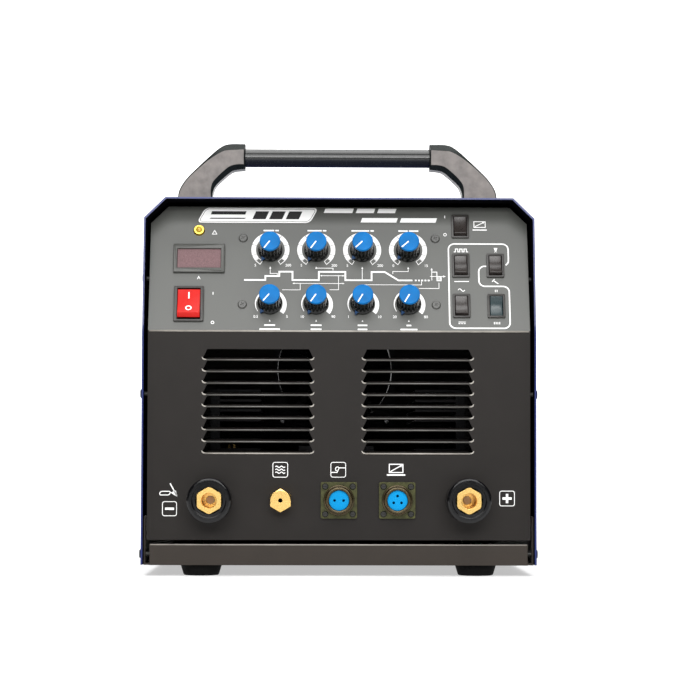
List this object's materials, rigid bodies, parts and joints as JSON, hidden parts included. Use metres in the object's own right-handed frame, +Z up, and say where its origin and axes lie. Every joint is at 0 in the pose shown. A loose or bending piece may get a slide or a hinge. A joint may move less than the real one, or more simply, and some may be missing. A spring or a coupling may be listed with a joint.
{
  "type": "tig welding machine",
  "caption": "Box-shaped TIG welding inverter with a sloping control panel, dials, rocker switches, louvres, output sockets and a top carrying handle.",
  "frame": {"origin": "on the ground under the middle of the machine", "axes": "+Z up, +X to the right as seen from the front, -Y out of the front"},
  "size_m": [0.329, 0.508, 0.3828],
  "materials": {
    "case_paint": "satin charcoal powder coat",
    "cover_paint": "satin deep blue powder coat",
    "bracket_paint": "satin grey-brown coat on cast alloy",
    "tube_paint": "gloss black",
    "foot_rubber": "matt black",
    "steel_screw": "zinc plated",
    "dark_screw": "painted over",
    "bezel_plastic": "grey moulded",
    "window_plastic": "dull red filter",
    "board_laminate": "green circuit laminate",
    "lamp_metal": "polished ring",
    "lamp_plastic": "yellow lens",
    "black_plastic": "black moulded",
    "switch_plastic": "dark grey moulded",
    "main_rocker_plastic": "red moulded",
    "knob_plastic": "black moulded",
    "cap_plastic": "blue moulded",
    "pot_metal": "plated",
    "collar_plastic": "black phenolic",
    "brass": "machined",
    "shell_metal": "olive drab plated",
    "insert_plastic": "blue moulded",
    "fan_plastic": "black moulded",
    "guard_wire": "plated wire",
    "sink_metal": "extruded",
    "core_metal": "ferrite and enamel",
    "winding": "enamelled copper",
    "capacitor_sleeve": "shrink sleeve"
  },
  "bodies": {
    "root": {"base_pan": "case_paint", "top_cover": "cover_paint", "front_panel": "case_paint", "rear_panel": "case_paint", "handle_tube": "tube_paint", "handle_brackets": "bracket_paint", "feet": "foot_rubber", "case_screws": "steel_screw", "meter_bezel": "bezel_plastic", "meter_window": "window_plastic", "meter_board": "board_laminate", "lamp_holder": "lamp_metal", "lamp_lens": "lamp_plastic", "main_switch_frame": "switch_plastic", "mode_switch_frames": "switch_plastic", "potentiometers": "pot_metal", "control_board": "board_laminate", "board_screws": "dark_screw", "output_collars": "collar_plastic", "output_contacts": "brass", "gas_outlet": "brass", "torch_socket_shell": "shell_metal", "torch_socket_insert": "insert_plastic", "remote_socket_shell": "shell_metal", "remote_socket_insert": "insert_plastic", "socket_screws": "steel_screw", "fan_frame": "fan_plastic", "fan_guard": "guard_wire", "gas_inlet": "brass", "cable_gland": "black_plastic", "gas_valve": "brass", "power_board": "board_laminate", "heat_sinks": "sink_metal", "main_transformer": "core_metal", "output_choke": "winding", "capacitors": "capacitor_sleeve", "earth_stud": "steel_screw"},
    "start_current_dial": {"start_current_knob": "knob_plastic", "start_current_cap": "cap_plastic"},
    "weld_current_dial": {"weld_current_knob": "knob_plastic", "weld_current_cap": "cap_plastic"},
    "base_current_dial": {"base_current_knob": "knob_plastic", "base_current_cap": "cap_plastic"},
    "down_slope_dial": {"down_slope_knob": "knob_plastic", "down_slope_cap": "cap_plastic"},
    "pulse_frequency_dial": {"pulse_frequency_knob": "knob_plastic", "pulse_frequency_cap": "cap_plastic"},
    "pulse_width_dial": {"pulse_width_knob": "knob_plastic", "pulse_width_cap": "cap_plastic"},
    "post_flow_dial": {"post_flow_knob": "knob_plastic", "post_flow_cap": "cap_plastic"},
    "ac_balance_dial": {"ac_balance_knob": "knob_plastic", "ac_balance_cap": "cap_plastic"},
    "main_rocker": {"main_rocker": "main_rocker_plastic"},
    "remote_rocker": {"remote_rocker": "switch_plastic"},
    "pulse_rocker": {"pulse_rocker": "switch_plastic"},
    "process_rocker": {"process_rocker": "switch_plastic"},
    "ac_dc_rocker": {"ac_dc_rocker": "switch_plastic"},
    "trigger_rocker": {"trigger_rocker": "switch_plastic"},
    "fan_rotor": {"fan_rotor": "fan_plastic"}
  },
  "joints": [
    {"name": "start_current_turn", "type": "hinge", "parent": "root", "child": "start_current_dial", "pos_m": [-0.0576, -0.21532, 0.27338], "axis": [0, 0.9511, -0.309], "range_deg": [-7, 293]},
    {"name": "weld_current_turn", "type": "hinge", "parent": "root", "child": "weld_current_dial", "pos_m": [-0.0192, -0.21532, 0.27338], "axis": [0, 0.9511, -0.309], "range_deg": [-5, 295]},
    {"name": "base_current_turn", "type": "hinge", "parent": "root", "child": "base_current_dial", "pos_m": [0.0192, -0.21532, 0.27338], "axis": [0, 0.9511, -0.309], "range_deg": [-15, 285]},
    {"name": "down_slope_turn", "type": "hinge", "parent": "root", "child": "down_slope_dial", "pos_m": [0.0576, -0.21532, 0.27338], "axis": [0, 0.9511, -0.309], "range_deg": [-18, 282]},
    {"name": "pulse_frequency_turn", "type": "hinge", "parent": "root", "child": "pulse_frequency_dial", "pos_m": [-0.0576, -0.22994, 0.22839], "axis": [0, 0.9511, -0.309], "range_deg": [-10, 290]},
    {"name": "pulse_width_turn", "type": "hinge", "parent": "root", "child": "pulse_width_dial", "pos_m": [-0.0192, -0.22994, 0.22839], "axis": [0, 0.9511, -0.309], "range_deg": [-4, 296]},
    {"name": "post_flow_turn", "type": "hinge", "parent": "root", "child": "post_flow_dial", "pos_m": [0.0192, -0.22994, 0.22839], "axis": [0, 0.9511, -0.309], "range_deg": [0, 300]},
    {"name": "ac_balance_turn", "type": "hinge", "parent": "root", "child": "ac_balance_dial", "pos_m": [0.0576, -0.22994, 0.22839], "axis": [0, 0.9511, -0.309], "range_deg": [0, 300]},
    {"name": "main_rocker_tilt", "type": "hinge", "parent": "root", "child": "main_rocker", "pos_m": [-0.1248, -0.21792, 0.22333], "axis": [1, 0, 0], "range_deg": [0, 24]},
    {"name": "remote_rocker_tilt", "type": "hinge", "parent": "root", "child": "remote_rocker", "pos_m": [0.1017, -0.1968, 0.29091], "axis": [1, 0, 0], "range_deg": [0, 24]},
    {"name": "pulse_rocker_tilt", "type": "hinge", "parent": "root", "child": "pulse_rocker", "pos_m": [0.1016, -0.2078, 0.25705], "axis": [1, 0, 0], "range_deg": [0, 24]},
    {"name": "process_rocker_tilt", "type": "hinge", "parent": "root", "child": "process_rocker", "pos_m": [0.1305, -0.2078, 0.25705], "axis": [1, 0, 0], "range_deg": [0, 24]},
    {"name": "ac_dc_rocker_tilt", "type": "hinge", "parent": "root", "child": "ac_dc_rocker", "pos_m": [0.1016, -0.21899, 0.22262], "axis": [1, 0, 0], "range_deg": [0, 24]},
    {"name": "trigger_rocker_tilt", "type": "hinge", "parent": "root", "child": "trigger_rocker", "pos_m": [0.1305, -0.21899, 0.22262], "axis": [1, 0, 0], "range_deg": [-24, 0]},
    {"name": "fan_spin", "type": "hinge", "parent": "root", "child": "fan_rotor", "pos_m": [0, 0.2, 0.186], "axis": [0, 1, 0], "continuous": true}
  ]
}
